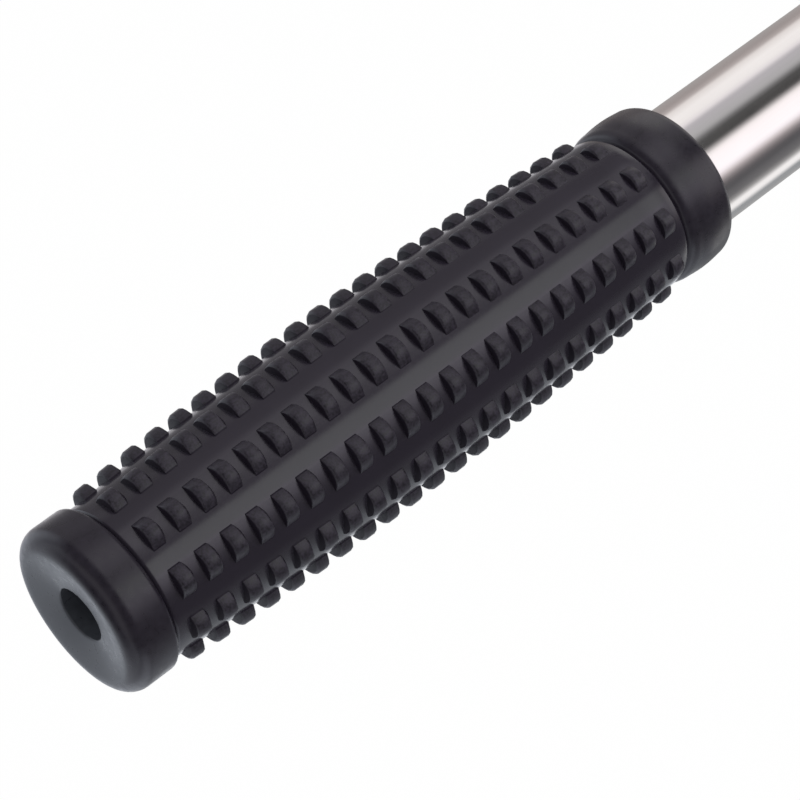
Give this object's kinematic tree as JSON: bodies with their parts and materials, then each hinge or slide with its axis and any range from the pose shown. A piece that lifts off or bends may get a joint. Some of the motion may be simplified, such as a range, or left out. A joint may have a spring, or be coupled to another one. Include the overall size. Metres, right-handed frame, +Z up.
{
  "type": "pull up bar",
  "caption": "Telescoping doorway pull-up bar with ribbed rubber grips on bright steel tubes; turning the bar by hand drives an inner screw that pushes its ends against the jambs.",
  "frame": {"origin": "centre of the left end, on the plane of the left door jamb", "axes": "+X along the bar towards its right end, +Z up, through a smooth strip between two rows of each grip's blocks"},
  "size_m": [0.66, 0.0432, 0.0424],
  "materials": {
    "rubber": "moulded, satin",
    "plated_tube": "polished plating",
    "steel": "machined, zinc plated",
    "bronze": "machined",
    "black_plastic": "moulded, satin",
    "natural_nylon": "moulded"
  },
  "bodies": {
    "left_end": {"left_grip": "rubber", "swivel_sleeve": "black_plastic"},
    "bar": {"outer_tube": "plated_tube", "left_end_plug": "steel", "thrust_washer": "bronze", "swivel_bolt": "steel", "swivel_nut": "steel", "screw_anchor": "steel", "anchor_pin": "steel", "lead_screw": "steel", "stop_nut": "steel", "guide_bush": "natural_nylon", "mouth_collar": "black_plastic"},
    "extension": {"inner_tube": "plated_tube", "drive_nut": "bronze", "nut_pins": "steel", "wear_ring": "natural_nylon", "grip_adapter": "black_plastic", "right_end_plug": "steel", "right_end_screw": "steel", "right_grip": "rubber"}
  },
  "joints": [
    {"name": "bar_turn", "type": "hinge", "parent": "left_end", "child": "bar", "pos_m": [0.0196, 0, 0], "axis": [-1, 0, 0], "range_deg": [0, 14400]},
    {"name": "extension_slide", "type": "slide", "parent": "left_end", "child": "extension", "axis": [1, 0, 0], "range_m": [0, 0.2]}
  ],
  "couplings": [
    {"joint": "extension_slide", "follows": "bar_turn", "m_per_rad": 0.00079577}
  ]
}
